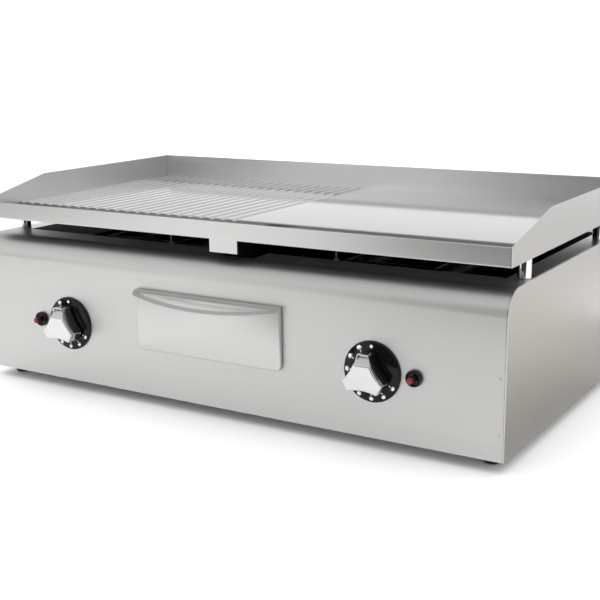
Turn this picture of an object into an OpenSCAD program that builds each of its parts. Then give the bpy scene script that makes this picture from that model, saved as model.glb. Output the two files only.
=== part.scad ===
// Two-burner gas griddle: a thick plate, half ribbed and half smooth, stands on four
// posts above a steel casing with a central grease drawer.
// +Z is up, the front faces -Y and the left side is at -X. Millimetres.

/* [Casing] */
// Width across the side panels
body_w = 800; // [760:10:1000]
// Depth from the front panel's face to the rear panel's face
body_d = 430; // [420:5:520]
// Height of the casing's top flange above the surface
body_top = 209; // [209:1:230]
// Outer radius of the rounded top front edge
bend_r = 30; // [20:1:34]
// Thickness of the panels
sheet = 1.5; // [1:0.1:2]
// Thickness of the side panels
side_t = 2; // [1.5:0.1:3]
// Width of the flat flange behind the rounded edge
flange_w = 38; // [30:1:38]

/* [Plate] */
// Thickness of the cooking plate
plate_t = 12; // [10:0.5:12]
// Height of the cooking surface above the surface it stands on
plate_top = 247.5; // [247.5:0.5:270]
// Distance between neighbouring grooves of the ribbed half
groove_pitch = 18.2; // [12:0.1:24]
// Depth of the grooves
groove_depth = 2.4; // [1:0.1:4]
// Width of the front trough between the apron and the plate
trough_w = 69; // [50:1:69]
// Height of the apron at the front of the trough
apron_h = 22.4; // [18:0.1:30]
// Thickness of the splash guards, the apron and the trough
guard_t = 2; // [1.5:0.1:3]
// Height of the splash guards above the apron's top edge
guard_rise = 27.6; // [15:0.1:60]
// Length along the plate of the guards' sloped front part
guard_slope = 124.5; // [60:0.5:160]
// Diameter of the posts that carry the plate
post_d = 16; // [12:0.5:20]

/* [Drawer] */
// Width of the drawer's front
drawer_w = 224; // [180:2:240]
// Height of the drawer's front
drawer_h = 81; // [70:1:81]
// Height of the drawer front's lower edge above the surface
drawer_z = 79; // [79:1:85]
// Length of the tray behind the front
tray_l = 345; // [250:5:345]
// Reach of the handle at its middle
handle_reach = 25.5; // [20:0.1:25.5]
// Reach of the handle at its ends
handle_end = 9.6; // [8.5:0.1:12]
// Slope of the handle below the horizontal, in degrees
handle_slope = 32; // [32:1:45]

/* [Controls] */
// Distance of each knob from the middle of the casing
knob_x = 236; // [200:1:240]
// Height of the knobs and igniters above the surface
control_z = 97; // [90:1:105]
// Diameter of the dial behind each knob
dial_d = 74; // [66:1:74]
// Distance from the panel to the knob's face
knob_reach = 28.5; // [26:0.5:34]
// Travel of the knob when it is pushed
knob_push = 3; // [2:0.5:3]
// Distance of each igniter from the middle of the casing
igniter_x = 290; // [285:1:300]
// Travel of the igniter's button
button_travel = 4; // [2:0.5:4]

/* [Feet] */
// Height of the feet
foot_h = 15; // [12:1:30]
// Diameter of the feet
foot_d = 22; // [20:1:36]
// Distance of the feet from the middle of the casing along X
foot_x = 372; // [340:1:372]
// Distance of the feet from the middle of the casing along Y
foot_y = 180; // [150:1:190]

/* [Hidden] */
$fn = 64;

front_y = -body_d / 2;
rear_y = body_d / 2;
inner_x = body_w / 2 - side_t;
bend_y = front_y + bend_r;
bend_z = body_top - bend_r;
flange_rear_y = bend_y + flange_w;
side_flange_w = 28;
rear_flange_w = 20;
side_flange_rear_y = rear_y - sheet;

plate_bottom = plate_top - plate_t;
apron_y = front_y + 6;
apron_bottom = plate_bottom - guard_t;
apron_top = apron_bottom + apron_h;
guard_top = apron_top + guard_rise;
plate_front_y = apron_y + guard_t + trough_w;
plate_rear_y = rear_y - guard_t;
plate_x = body_w / 2 - guard_t;
groove_n = floor((plate_x - 1) / groove_pitch + 0.2);
post_x = body_w / 2 - 11.5;
post_y = 139;
bolt_r = 3;
bolt_l = 14;
spout_x0 = 2;
spout_x1 = 44;
spout_drop = 16;
spout_notch = [-2, 50];

drawer_proud = 6;
front_gap = 1;
drawer_t = 1.2;
drawer_face_y = front_y - drawer_proud;
drawer_corner_r = 8;
drawer_top = drawer_z + drawer_h;
opening_w = drawer_w - 6;
opening_z0 = drawer_z + 3;
opening_z1 = drawer_top - 3;
tray_w = opening_w - 16;
rim_w = 6;
rim_z = drawer_top - 10;
tray_z = drawer_z + 5;
tray_y0 = drawer_face_y + drawer_t;
tray_y1 = tray_y0 + tray_l;
runner_x = tray_w / 2 + rim_w + 1.5;
runner_gap = 0.3;

shield_z = 165;
shield_t = 1.2;
shield_y0 = front_y + 47;
burner_x = 200;
burner_z = 186;
burner_r = 14;
burner_wall = 1.2;
burner_leg = 62;
burner_y0 = front_y + 120;
burner_y1 = rear_y - 55;
venturi_r = 11;
venturi_y = burner_y0 - 34;
injector_y = venturi_y - 22;

dial_t = 4;
knob_gap = knob_push + 0.4;
knob_face_y = front_y - knob_reach;
knob_back_y = front_y - dial_t - knob_gap;
lobe_r = 26.5;
lobe_w = 14;
waist_r = 64.5;
waist_shift = 80.8;
spindle_r = 4;
spindle_flat = 3;
plug_r = 7;
fit = 0.05;
valve_r = 12;
valve_y0 = front_y + 9;
valve_y1 = valve_y0 + 34;
pipe_r = 8.6;
pipe_bore = 6.3;
pipe_y = front_y + 27;
pipe_z = 60;
inlet_x = 300;
inlet_reach = knob_reach;
inlet_r = 10.48;
inlet_thread = 20;
tube_r = 4;
bezel_r = 10;
bezel_t = 5;
barrel_r = 8.5;
button_r = 4.5;
button_reach = 15;

// A solid whose outline is drawn in (Y, Z) and runs from x0 to x1.
module along_x(x0, x1) {
    translate([x0, 0, 0]) rotate([90, 0, 90]) linear_extrude(height = x1 - x0) children();
}

// A solid whose outline is drawn in (X, Z) and runs from y0 to y1.
module along_y(y0, y1) {
    translate([0, y1, 0]) rotate([90, 0, 0]) linear_extrude(height = y1 - y0) children();
}

// A round bar along +Y from y0 to y1.
module bar_y(x, z, y0, y1, r) {
    translate([x, y0, z]) rotate([-90, 0, 0]) cylinder(r = r, h = y1 - y0);
}

// A round bar along +Y with a flat on its upper side, d above the axis.
module keyed_y(x, z, y0, y1, r, d) {
    difference() {
        bar_y(x, z, y0, y1, r);
        translate([x - r - 1, y0 - 1, z + d]) cube([2 * r + 2, y1 - y0 + 2, r]);
    }
}

// A round bar between two points.
module bar(a, b, r) {
    d = b - a;
    l = norm(d);
    translate(a) rotate([0, acos(d.z / l), atan2(d.y, d.x)]) cylinder(r = r, h = l);
}

function unit(v) = v / norm(v);

// A round bar along points joined by straight runs at right angles, with elbows of radius b.
module bent_bar(p, r, b) {
    last = len(p) - 1;
    for (i = [0 : last - 1]) {
        d = unit(p[i + 1] - p[i]);
        bar(p[i] + (i > 0 ? b : 0) * d, p[i + 1] - (i < last - 1 ? b : 0) * d, r);
    }
    for (i = [1 : last - 1]) {
        u = unit(p[i] - p[i - 1]);
        v = unit(p[i + 1] - p[i]);
        w = cross(u, v);
        c = p[i] + b * (v - u);
        multmatrix([[-v.x, u.x, w.x, c.x], [-v.y, u.y, w.y, c.y], [-v.z, u.z, w.z, c.z]])
            rotate_extrude(angle = 90) translate([b, 0]) circle(r = r);
    }
}

function mirrored(p, s) = [for (q = p) [s * q.x, q.y, q.z]];

// Side view of the casing: square but for the rounded top front edge.
module casing_outline() {
    translate([front_y, foot_h]) square([body_d, bend_z - foot_h]);
    translate([bend_y, bend_z]) square([rear_y - bend_y, bend_r]);
    translate([bend_y, bend_z]) circle(r = bend_r);
}

module front_profile() {
    translate([front_y, foot_h]) square([sheet, bend_z - foot_h]);
    intersection() {
        translate([front_y, bend_z]) square(bend_r);
        difference() {
            translate([bend_y, bend_z]) circle(r = bend_r);
            translate([bend_y, bend_z]) circle(r = bend_r - sheet);
        }
    }
    translate([bend_y, body_top - sheet]) square([flange_w, sheet]);
}

module front_panel() {
    color("lightgray") difference() {
        along_x(-inner_x, inner_x) front_profile();
        translate([-opening_w / 2, front_y - 1, opening_z0])
            cube([opening_w, sheet + 2, opening_z1 - opening_z0]);
        for (s = [-1, 1]) {
            bar_y(s * knob_x, control_z, front_y - 1, front_y + 3, 6);
            bar_y(s * igniter_x, control_z, front_y - 1, front_y + 3, barrel_r + 0.2);
        }
        translate([spout_notch[0], bend_y + 2, body_top - 3])
            cube([spout_notch[1] - spout_notch[0], flange_w, 6]);
    }
}

module side_panel(s) {
    color("lightgray") {
        x = s > 0 ? inner_x : -body_w / 2;
        along_x(x, x + side_t) casing_outline();
        flange_x = s > 0 ? inner_x - side_flange_w : -inner_x;
        difference() {
            translate([flange_x, flange_rear_y, body_top - sheet])
                cube([side_flange_w, side_flange_rear_y - flange_rear_y, sheet]);
            for (y = [-post_y, post_y]) {
                translate([s * post_x, y, body_top - 3]) cylinder(r = bolt_r + fit, h = 6);
            }
        }
    }
}

module rear_panel() {
    vent_n = 16;
    vent_pitch = 40;
    vent_w = 7;
    flange_x = inner_x - side_flange_w;
    color("silver") difference() {
        union() {
            translate([-inner_x, rear_y - sheet, foot_h])
                cube([2 * inner_x, sheet, body_top - foot_h]);
            translate([-flange_x, rear_y - sheet - rear_flange_w, body_top - sheet])
                cube([2 * flange_x, rear_flange_w, sheet]);
        }
        for (i = [0 : vent_n - 1], z = [shield_z - 55, shield_z + 12]) {
            translate([(i - (vent_n - 1) / 2) * vent_pitch - vent_w / 2, rear_y - 3, z])
                cube([vent_w, 6, 24]);
        }
        bar_y(inlet_x, pipe_z, rear_y - 3, rear_y + 3, inlet_r + 0.5);
    }
}

module base_pan() {
    slot_n = 9;
    color("silver") difference() {
        translate([-inner_x, front_y + sheet, foot_h])
            cube([2 * inner_x, body_d - 2 * sheet, sheet]);
        for (x = [-foot_x, foot_x], y = [-foot_y, foot_y]) {
            translate([x, y, foot_h - 1]) cylinder(r = 4.2, h = 5);
        }
        for (s = [-1, 1], i = [0 : slot_n - 1]) {
            translate([s * burner_x - 60, (i - (slot_n - 1) / 2) * 30 - 5, foot_h - 1])
                cube([120, 10, 5]);
        }
    }
}

module heat_shield() {
    lip = 8;
    x = inner_x;
    y1 = rear_y - sheet;
    color("dimgray") difference() {
        union() {
            translate([-x, shield_y0, shield_z]) cube([2 * x, y1 - shield_y0, shield_t]);
            translate([-x, shield_y0, shield_z]) cube([2 * x, shield_t, lip]);
            for (s = [-x, x - shield_t]) {
                translate([s, shield_y0, shield_z]) cube([shield_t, y1 - shield_y0, lip]);
            }
        }
        translate([spout_notch[0], shield_y0 - 1, shield_z - 1])
            cube([spout_notch[1] - spout_notch[0], 34, 12]);
    }
}

module drawer_runner(s) {
    web_t = 1.2;
    ledge = runner_x - tray_w / 2 - 1;
    y0 = front_y + sheet;
    color("silver") along_y(y0, y0 + tray_l - 10) {
        web_x = s > 0 ? runner_x : -runner_x - web_t;
        ledge_x = s > 0 ? runner_x - ledge : -runner_x;
        translate([web_x, rim_z - drawer_t - 3]) square([web_t, shield_z - rim_z + drawer_t + 3]);
        translate([ledge_x, rim_z - drawer_t - runner_gap - web_t]) square([ledge, web_t]);
        translate([ledge_x, rim_z + 1]) square([ledge, web_t]);
    }
}

module griddle_plate() {
    half = groove_pitch * 0.3;
    color("gainsboro") difference() {
        translate([-plate_x, plate_front_y, plate_bottom])
            cube([2 * plate_x, plate_rear_y - plate_front_y, plate_t]);
        for (i = [0 : groove_n - 1]) {
            translate([-(i + 0.5) * groove_pitch, 0, plate_top])
                along_y(plate_front_y - 1, plate_rear_y + 1)
                    polygon([[-half, 1], [-half, 0], [-half / 2, -groove_depth],
                        [half / 2, -groove_depth], [half, 0], [half, 1]]);
        }
    }
}

// Apron, trough floor and spout tab are one folded sheet.
module front_trough() {
    color("gainsboro") difference() {
        union() {
            translate([-plate_x, apron_y, apron_bottom]) cube([2 * plate_x, guard_t, apron_h]);
            translate([-plate_x, apron_y, apron_bottom])
                cube([2 * plate_x, trough_w + guard_t + 8, guard_t]);
            translate([spout_x0, apron_y, apron_bottom - spout_drop])
                cube([spout_x1 - spout_x0, guard_t, spout_drop + 1]);
        }
        translate([spout_x0 + 5, apron_y + guard_t + 5, apron_bottom - 1])
            cube([spout_x1 - spout_x0 - 10, 22, guard_t + 2]);
    }
}

// Open chute behind the tab that leads the grease back into the drawer.
module grease_spout() {
    cheek_t = 1.5;
    y0 = apron_y + guard_t;
    y1 = y0 + 46;
    z1 = apron_bottom;
    floor_drop = 30;
    color("silver") {
        for (x = [spout_x0, spout_x1 - cheek_t]) {
            along_x(x, x + cheek_t)
                polygon([[y0, z1], [y0, z1 - spout_drop + 1], [y1, z1 - floor_drop], [y1, z1]]);
        }
        along_x(spout_x0, spout_x1)
            polygon([[y0, z1 - spout_drop + 2.6], [y0, z1 - spout_drop + 1],
                [y1, z1 - floor_drop], [y1, z1 - floor_drop + 1.6]]);
    }
}

module splash_guard_side(s) {
    x = s > 0 ? plate_x : -body_w / 2;
    color("gainsboro") along_x(x, x + guard_t)
        polygon([[apron_y, apron_bottom], [rear_y, apron_bottom], [rear_y, guard_top],
            [apron_y + guard_slope, guard_top], [apron_y, apron_top]]);
}

module splash_guard_back() {
    color("gainsboro") translate([-plate_x, plate_rear_y, apron_bottom])
        cube([2 * plate_x, guard_t, guard_top - apron_bottom]);
}

// The front posts carry the trough's floor, the rear posts the plate itself.
module post(sx, sy) {
    top = sy < 0 ? apron_bottom : plate_bottom;
    color("silver") translate([sx * post_x, sy * post_y, body_top]) difference() {
        cylinder(r = post_d / 2, h = top - body_top);
        translate([0, 0, -1]) cylinder(r = bolt_r + fit, h = bolt_l + 1.5);
    }
}

module post_bolts() {
    color("gray") for (sx = [-1, 1], sy = [-1, 1]) {
        translate([sx * post_x, sy * post_y, body_top - sheet]) {
            translate([0, 0, -5]) cylinder(r = 5, h = 5, $fn = 6);
            translate([0, 0, -1]) cylinder(r = bolt_r, h = bolt_l + sheet + 1);
        }
    }
}

module drawer_front_outline(inset) {
    w = drawer_w / 2 - inset;
    r = drawer_corner_r - inset;
    translate([-w, drawer_z + drawer_corner_r]) square([2 * w, drawer_h - drawer_corner_r - inset]);
    translate([-w + r, drawer_z + inset]) square([2 * (w - r), drawer_h - 2 * inset]);
    for (s = [-1, 1]) {
        translate([s * (w - r), drawer_z + drawer_corner_r]) circle(r = r);
    }
}

module drawer_front() {
    color("lightgray") difference() {
        along_y(drawer_face_y, front_y - front_gap) drawer_front_outline(0);
        along_y(drawer_face_y + drawer_t, front_y) drawer_front_outline(drawer_t);
    }
}

module drawer_handle() {
    t = 1.5;
    half = drawer_w / 2;
    bow = handle_reach - handle_end;
    bow_r = (half * half + bow * bow) / (2 * bow);
    slot_inset = 6;
    slot_back = 5.5;
    color("silver") difference() {
        translate([0, drawer_face_y, drawer_top - t]) rotate([handle_slope, 0, 0])
            linear_extrude(height = t) difference() {
                intersection() {
                    translate([0, bow_r - handle_reach]) circle(r = bow_r);
                    translate([-half, -handle_reach - 1]) square([2 * half, handle_reach + 3]);
                }
                intersection() {
                    translate([0, bow_r - handle_reach]) circle(r = bow_r - slot_inset);
                    translate([-half, -handle_reach]) square([2 * half, handle_reach - slot_back]);
                }
            }
        translate([-half - 1, drawer_face_y, drawer_z]) cube([2 * half + 2, 20, 2 * drawer_h]);
    }
}

module drawer_tray() {
    w = tray_w / 2;
    color("silver") difference() {
        union() {
            translate([-w, tray_y0, tray_z]) cube([2 * w, tray_l, rim_z - tray_z]);
            translate([-w - rim_w, front_y + 1, rim_z - drawer_t])
                cube([2 * (w + rim_w), tray_y1 - front_y - 1, drawer_t]);
        }
        translate([-w + drawer_t, tray_y0 + drawer_t, tray_z + drawer_t])
            cube([2 * (w - drawer_t), tray_l - 2 * drawer_t, drawer_h]);
    }
}

module dial(s) {
    edge = 1.2;
    color("black") translate([s * knob_x, front_y, control_z]) rotate([90, 0, 0])
        rotate_extrude() polygon([[10, 0], [dial_d / 2, 0], [dial_d / 2, dial_t - edge - 1],
            [dial_d / 2 - edge, dial_t - 1], [10, dial_t]]);
}

// Three blunt lobes with hollow flanks; one lobe points up.
module knob_outline() {
    difference() {
        polygon([for (a = [90, 210, 330], k = [-1, 1])
            lobe_r * [cos(a), sin(a)] + k * lobe_w / 2 * [-sin(a), cos(a)]]);
        for (a = [30, 150, 270]) {
            translate(waist_shift * [cos(a), sin(a)]) circle(r = waist_r);
        }
    }
}

module knob(s) {
    depth = knob_back_y - knob_face_y;
    pointer_angle = 42;
    color("silver") translate([s * knob_x, 0, control_z]) difference() {
        union() {
            along_y(knob_face_y, knob_back_y) knob_outline();
            bar_y(0, 0, knob_back_y - 1, front_y - knob_gap, 9);
        }
        keyed_y(0, 0, knob_back_y - depth / 2, front_y, spindle_r, spindle_flat);
        translate([-20, knob_face_y, 14]) rotate([-pointer_angle, 0, 0])
            translate([0, -40, 0]) cube([40, 40, 40]);
    }
}

module spindle(s) {
    depth = knob_back_y - knob_face_y;
    color("darkgoldenrod") keyed_y(s * knob_x, control_z, knob_back_y - depth / 2,
        valve_y0 + 14, spindle_r, spindle_flat);
}

module valve_plug(s) {
    y0 = valve_y0 + 8;
    y1 = valve_y0 + 28;
    color("goldenrod") difference() {
        bar_y(s * knob_x, control_z, y0, y1, plug_r);
        keyed_y(s * knob_x, control_z, y0 - 1, valve_y0 + 15 + knob_push,
            spindle_r + fit, spindle_flat + fit);
    }
}

module valve(s) {
    x = s * knob_x;
    color("darkkhaki") difference() {
        union() {
            bar_y(x, control_z, valve_y0, valve_y1, valve_r);
            bar_y(x, control_z, valve_y1, valve_y1 + 18, 7);
            translate([x - 9, pipe_y - 9, pipe_z]) cube([18, 18, control_z - pipe_z]);
            translate([x, pipe_y + 8, control_z]) cylinder(r = 6, h = 26);
            translate([x, pipe_y + 8, control_z + 18]) cylinder(r = 8, h = 9, $fn = 6);
        }
        bar_y(x, control_z, valve_y0 + 8, valve_y0 + 28, plug_r + fit);
        bar_y(x, control_z, valve_y0 - 1, valve_y0 + 9, spindle_r + fit);
        translate([x - 20, pipe_y, pipe_z]) rotate([0, 90, 0]) cylinder(r = pipe_r, h = 40);
        translate([x - 20, pipe_y - 20, pipe_z - 20]) cube([40, 40, 20 + 1]);
        translate([x, pipe_y + 8, control_z + 18]) cylinder(r = tube_r, h = 10);
    }
}

pipe_path = [[-knob_x - 26, pipe_y, pipe_z], [inlet_x, pipe_y, pipe_z],
    [inlet_x, rear_y - 25, pipe_z]];

module gas_manifold() {
    color("gray") difference() {
        bent_bar(pipe_path, pipe_r, 20);
        bent_bar(pipe_path + [[5, 0, 0], [0, 0, 0], [0, 1, 0]], pipe_bore, 20);
    }
}

module gas_inlet() {
    y0 = rear_y - 25;
    color("darkkhaki") difference() {
        union() {
            bar_y(inlet_x, pipe_z, y0, rear_y + inlet_reach, inlet_r - 1.2);
            bar_y(inlet_x, pipe_z, rear_y + inlet_reach - inlet_thread,
                rear_y + inlet_reach, inlet_r);
            translate([inlet_x, y0, pipe_z]) rotate([-90, 0, 0])
                cylinder(r = 15, h = 14, $fn = 6);
            translate([inlet_x, rear_y, pipe_z]) rotate([-90, 0, 0])
                cylinder(r = 15, h = 5, $fn = 6);
        }
        bar_y(inlet_x, pipe_z, y0 - 1, rear_y + inlet_reach + 1, pipe_bore);
    }
}

module supply_tube(s) {
    y = pipe_y + 8;
    z0 = control_z + 18;
    z1 = burner_z - 28;
    p = [[knob_x, y, z0], [knob_x, y, z1], [burner_x, y, z1], [burner_x, y, burner_z],
        [burner_x, injector_y, burner_z]];
    color("silver") bent_bar(mirrored(p, s), tube_r, 10);
}

module injector(s) {
    x = s * burner_x;
    y = injector_y;
    color("goldenrod") difference() {
        union() {
            translate([x, y, burner_z]) rotate([-90, 0, 0]) cylinder(r = 8, h = 8, $fn = 6);
            bar_y(x, burner_z, y + 8, y + 18, 5);
            bar_y(x, burner_z, y + 18, y + 24, 3.5);
        }
        bar_y(x, burner_z, y - 1, y + 20, 2.5);
        bar_y(x, burner_z, y - 1, y + 26, 0.8);
    }
}

// Legs, cross tube and mixing tube of one burner, drawn with the given wall offset.
module burner_tubes(x, r, cut) {
    for (k = [-1, 1]) bar_y(x + k * burner_leg, burner_z, burner_y0, burner_y1 + cut, r);
    for (k = [-1, 1]) translate([x + k * burner_leg, burner_y0, burner_z]) sphere(r = r);
    translate([x - burner_leg, burner_y0, burner_z]) rotate([0, 90, 0])
        cylinder(r = r, h = 2 * burner_leg);
}

module burner(s) {
    x = s * burner_x;
    port_n = 15;
    port_pitch = 16;
    color("dimgray") difference() {
        union() {
            burner_tubes(x, burner_r, 0);
            bar_y(x, burner_z, venturi_y, burner_y0, venturi_r);
            bar_y(x, burner_z, venturi_y, venturi_y + 4, venturi_r + 2);
        }
        burner_tubes(x, burner_r - burner_wall, -burner_wall);
        bar_y(x, burner_z, venturi_y - 1, burner_y0, venturi_r - burner_wall);
        for (k = [-1, 1], i = [0 : port_n - 1]) {
            translate([x + k * burner_leg, burner_y0 + 20 + i * port_pitch, burner_z])
                cylinder(r = 1.5, h = burner_r + 1);
        }
    }
}

module burner_bracket(s) {
    x = s * burner_x;
    z0 = shield_z + shield_t;
    t = 1.5;
    color("gray") {
        difference() {
            along_y(injector_y + 8, injector_y + 8 + t) {
                translate([x - 22, z0]) square([44, burner_z + 14 - z0]);
            }
            bar_y(x, burner_z, injector_y, injector_y + 20, 5);
        }
        for (k = [-1, 1]) difference() {
            along_y(burner_y1 - 20, burner_y1 - 20 + t) {
                translate([x + k * burner_leg - 22, z0]) square([44, burner_z - z0]);
            }
            bar_y(x + k * burner_leg, burner_z, burner_y1 - 30, burner_y1, burner_r);
        }
    }
}

module thermocouple(s) {
    x = burner_x - 34;
    y = burner_y0 - burner_r - 6;
    front = pipe_y + 16;
    z_over = shield_z + 17;
    back = valve_y1 + 36;
    p = [[x, y, burner_z + 14], [x, y, z_over], [x, front, z_over], [x, front, control_z],
        [x, back, control_z], [knob_x, back, control_z], [knob_x, valve_y1 + 18, control_z]];
    color("darkkhaki") {
        bent_bar(mirrored(p, s), 1.2, 5);
        translate([s * x, y, z_over + 6]) cylinder(r = 2.2, h = 20);
    }
}

module electrode(s) {
    x = burner_x - burner_leg - 6;
    y = burner_y0 - burner_r - 8;
    z0 = shield_z + shield_t;
    color("white") translate([s * x, y, z0]) cylinder(r = 3.5, h = 38);
    color("gray") translate([s * x, y, z0 + 30]) cylinder(r = 0.9, h = 19);
    color("gray") translate([s * x, y, z0 + 48]) rotate([-50, 0, 0]) cylinder(r = 0.9, h = 10);
}

module igniter_body(s) {
    x = s * igniter_x;
    bore = button_r + 0.3;
    color("black") difference() {
        union() {
            bar_y(x, control_z, front_y - bezel_t, front_y, bezel_r);
            bar_y(x, control_z, front_y, front_y + 42, barrel_r);
        }
        bar_y(x, control_z, front_y - bezel_t - 1, front_y + 8, bore);
        bar_y(x, control_z, front_y + 7, front_y + 38, bore + 1.5);
    }
}

module igniter_button(s) {
    x = s * igniter_x;
    color("firebrick") {
        bar_y(x, control_z, front_y - button_reach, front_y + 8, button_r);
        bar_y(x, control_z, front_y + 8, front_y + 10, button_r + 1.2);
        bar_y(x, control_z, front_y + 10, front_y + 24, 2);
    }
}

module foot(sx, sy) {
    color("black") translate([sx * foot_x, sy * foot_y, 0]) difference() {
        rotate_extrude() polygon([[0, 0], [foot_d / 2 - 3, 0], [foot_d / 2, 3],
            [foot_d / 2, foot_h], [0, foot_h]]);
        translate([0, 0, 4]) cylinder(r = 4, h = foot_h);
    }
}

module foot_screws() {
    color("gray") for (x = [-foot_x, foot_x], y = [-foot_y, foot_y]) {
        translate([x, y, 5]) cylinder(r = 4, h = foot_h + sheet - 5);
        translate([x, y, foot_h + sheet]) cylinder(r = 7, h = 5, $fn = 6);
    }
}

module rear_panel_screws() {
    color("gray") for (s = [-1, 1], z = [40, body_top - 24]) {
        bar_y(s * (inner_x - 8), z, rear_y, rear_y + 2.2, 4);
    }
}

module front_rivets() {
    color("silver") for (s = [-1, 1], z = [46, 111]) {
        bar_y(s * (inner_x - 5), z, front_y - 0.4, front_y, 2);
    }
}

front_panel();
side_panel(-1);  // side_panel_left
side_panel(1);  // side_panel_right
rear_panel();
base_pan();
heat_shield();
drawer_runner(-1);  // drawer_runner_left
drawer_runner(1);  // drawer_runner_right
griddle_plate();
front_trough();
grease_spout();
splash_guard_side(-1);  // splash_guard_left
splash_guard_side(1);  // splash_guard_right
splash_guard_back();
post(-1, -1);  // post_front_left
post(1, -1);  // post_front_right
post(-1, 1);  // post_rear_left
post(1, 1);  // post_rear_right
post_bolts();
drawer_front();
drawer_handle();
drawer_tray();
dial(-1);  // dial_left
dial(1);  // dial_right
knob(-1);  // knob_left
knob(1);  // knob_right
spindle(-1);  // spindle_left
spindle(1);  // spindle_right
valve_plug(-1);  // valve_plug_left
valve_plug(1);  // valve_plug_right
valve(-1);  // valve_left
valve(1);  // valve_right
gas_manifold();
gas_inlet();
supply_tube(-1);  // supply_tube_left
supply_tube(1);  // supply_tube_right
injector(-1);  // injector_left
injector(1);  // injector_right
burner(-1);  // burner_left
burner(1);  // burner_right
burner_bracket(-1);  // burner_bracket_left
burner_bracket(1);  // burner_bracket_right
thermocouple(-1);  // thermocouple_left
thermocouple(1);  // thermocouple_right
electrode(-1);  // electrode_left
electrode(1);  // electrode_right
igniter_body(-1);  // igniter_body_left
igniter_body(1);  // igniter_body_right
igniter_button(-1);  // igniter_button_left
igniter_button(1);  // igniter_button_right
foot(-1, -1);  // foot_front_left
foot(1, -1);  // foot_front_right
foot(-1, 1);  // foot_rear_left
foot(1, 1);  // foot_rear_right
foot_screws();
rear_panel_screws();
front_rivets();
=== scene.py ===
"""Looks of the two-burner gas griddle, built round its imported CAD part.

Metres throughout: +Z is up, the front faces -Y and the left side is at -X.
"""

import math

import bmesh
import bpy
import numpy as np
from mathutils import Matrix, Vector


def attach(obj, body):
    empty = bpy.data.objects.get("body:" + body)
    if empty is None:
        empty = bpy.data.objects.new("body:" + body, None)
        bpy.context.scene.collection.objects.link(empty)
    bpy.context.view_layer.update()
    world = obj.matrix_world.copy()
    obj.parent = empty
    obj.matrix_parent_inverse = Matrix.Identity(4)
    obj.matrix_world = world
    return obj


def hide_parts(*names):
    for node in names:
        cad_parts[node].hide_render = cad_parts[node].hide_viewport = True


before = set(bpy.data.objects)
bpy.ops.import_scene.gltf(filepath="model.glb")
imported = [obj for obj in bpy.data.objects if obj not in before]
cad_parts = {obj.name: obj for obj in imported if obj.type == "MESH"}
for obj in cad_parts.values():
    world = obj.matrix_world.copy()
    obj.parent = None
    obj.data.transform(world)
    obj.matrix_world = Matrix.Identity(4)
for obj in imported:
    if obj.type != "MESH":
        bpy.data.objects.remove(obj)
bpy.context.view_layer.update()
MM = 0.001

# ---------------------------------------------------------------- sizes, in millimetres
# casing; _W is half a width, and the notch lets the grease chute through the top flange
HALF_W = 400.0
FRONT, REAR = -215.0, 215.0
FLOOR_Z, TOP_Z = 15.0, 209.0
BEND_R = 30.0
FLANGE_REAR, REAR_FLANGE_Y, SIDE_FLANGE = -147.0, 193.5, 28.0
SHEET, SIDE_SHEET, GUARD = 1.5, 2.0, 2.0
INNER_W = HALF_W - SIDE_SHEET
OPENING_W, OPENING_Z0, OPENING_Z1 = 109.0, 82.0, 157.0
NOTCH_X0, NOTCH_X1, NOTCH_Y = -2.0, 50.0, -183.0
VENTS, VENT_PITCH, VENT_W = 16, 40.0, 3.5
VENT_ROW_1, VENT_ROW_2 = (110.0, 134.0), (177.0, 201.0)
RIVET_X, RIVET_Z = 393.0, (46.0, 111.0)
REAR_SCREW_X, REAR_SCREW_Z = 390.0, (40.0, 185.0)
FOOT_X, FOOT_Y = 372.0, 180.0
# plate, trough, guards and posts
APRON_Y, APRON_Z0, APRON_Z1, APRON_BEND_R = -209.0, 233.5, 255.9, 1.5
TROUGH_REAR = -130.0
GUARD_Z, SLOPE_Y = 283.5, -84.5
PLATE_W = HALF_W - GUARD
PLATE_Y0, PLATE_Z0, PLATE_Z1, PLATE_EDGE_R = -138.0, 235.5, 247.5, 1.0
GROOVE_PITCH, GROOVE_DEPTH, GROOVES = 18.2, 2.4, 22
GROOVE_W, GROOVE_FLANK = 5.6, 3.6
SPOUT_X0, SPOUT_X1, SPOUT_Z0 = 2.0, 44.0, 217.5
DRAIN_X0, DRAIN_X1, DRAIN_Y0, DRAIN_Y1 = 7.0, 39.0, -202.0, -180.0
POST_X, POST_Y, POST_R = 388.5, 139.0, 8.0
# drawer's pan: its back, its rim and the roll of the edge in front of the rim
DRAWER_W, DRAWER_Z0, DRAWER_Z1, DRAWER_CORNER = 112.0, 79.0, 160.0, 8.0
PAN_BACK, PAN_RIM, PAN_ROLL = -216.0, -219.8, 1.2
# drawer's grip: two arcs about one point, and the strip that joins it to the pan
GRIP_Y, GRIP_Z, GRIP_SLOPE = -221.0, 158.5, 32
GRIP_OUTER_R, GRIP_SLOT_R, GRIP_BEHIND = 402.4, 396.4, 376.9
GRIP_STRIP, GRIP_CORNER = 5.5, 4.0
# dials, knobs and igniters
KNOB_X, CONTROL_Z, IGNITER_X = 236.0, 97.0, 290.0
MARK_OUT, DOT_OUT, MARK_LIFT, DOT_LIFT = 31.4, 27.6, 3.18, 3.28
KNOB_BACK, KNOB_FACE, KNOB_ROUND = -222.4, -243.5, 1.8
LOBE_END, FLANK_R, FLANK_OUT = 26.5, 64.5, 80.8
SLOPE_FROM_Z, SLOPE_DEG = 14, 41
# gas inlet: a half-inch pipe thread, 14 crests to the inch
INLET_X, INLET_Z, INLET_Y0, INLET_Y1 = 300.0, 60.0, 190.0, 243.5
BORE_R, NECK_R, ROOT_R, CREST_R = 6.3, 9.28, 9.4, 10.48
NECK_Y, THREAD_Y0, THREAD_Y1, THREAD_PITCH = 223.5, 224.3, 242.0, 1.814


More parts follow.
